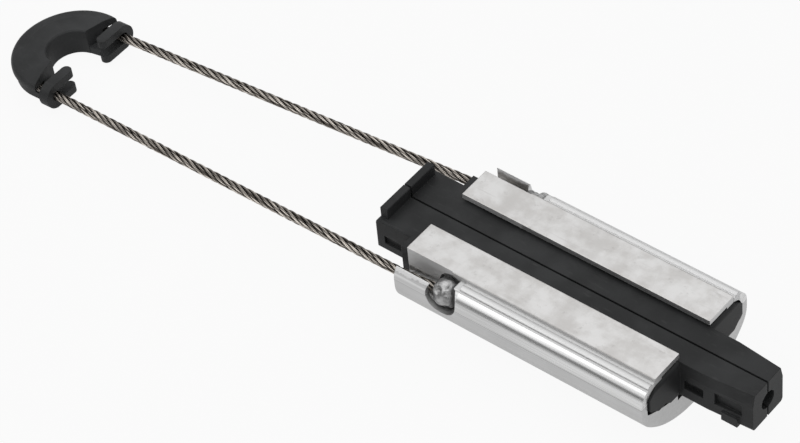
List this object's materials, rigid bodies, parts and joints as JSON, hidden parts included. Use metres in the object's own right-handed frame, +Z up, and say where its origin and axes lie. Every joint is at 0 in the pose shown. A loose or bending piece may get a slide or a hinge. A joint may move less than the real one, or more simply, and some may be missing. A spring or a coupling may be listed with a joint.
{
  "type": "dead-end anchor clamp",
  "caption": "Aluminium anchor clamp with sliding plastic wedge halves that grip an aerial cable, and a hinged rope bail with a saddle for the pole bracket.",
  "frame": {"origin": "on the axis of the cable passage, in the plane of the body's tail face, where the wedge halves enter", "axes": "+X along the cable from the saddle to the wedge nose, +Y to the far side of the seam, +Z up through the open slot"},
  "size_m": [0.4704, 0.0848, 0.0464],
  "materials": {
    "body": "as extruded, matte on the flanges and bright on the shoulders",
    "wedge": "matte moulded",
    "rope": "bare stranded stainless rope",
    "ferrule": "dull, dented by the crimping tool",
    "saddle": "matte moulded"
  },
  "bodies": {
    "body": {"body": "body"},
    "wedge_half_far": {"wedge_far": "wedge"},
    "wedge_half_near": {"wedge_near": "wedge"},
    "bail": {"bail_rope": "rope", "ferrule_near": "ferrule", "ferrule_far": "ferrule", "saddle": "saddle"}
  },
  "joints": [
    {"name": "wedge_far_slide", "type": "slide", "parent": "body", "child": "wedge_half_far", "axis": [-0.9985, 0, -0.0548], "range_m": [0, 0.062]},
    {"name": "wedge_near_slide", "type": "slide", "parent": "body", "child": "wedge_half_near", "axis": [-0.9985, 0, -0.0548], "range_m": [0, 0.062]},
    {"name": "bail_hinge", "type": "hinge", "parent": "body", "child": "bail", "pos_m": [0.0273, 0, 0.0057], "axis": [0, 1, 0], "range_deg": [0, 75]}
  ],
  "couplings": [
    {"joint": "wedge_near_slide", "follows": "wedge_far_slide", "ratio": 1}
  ]
}
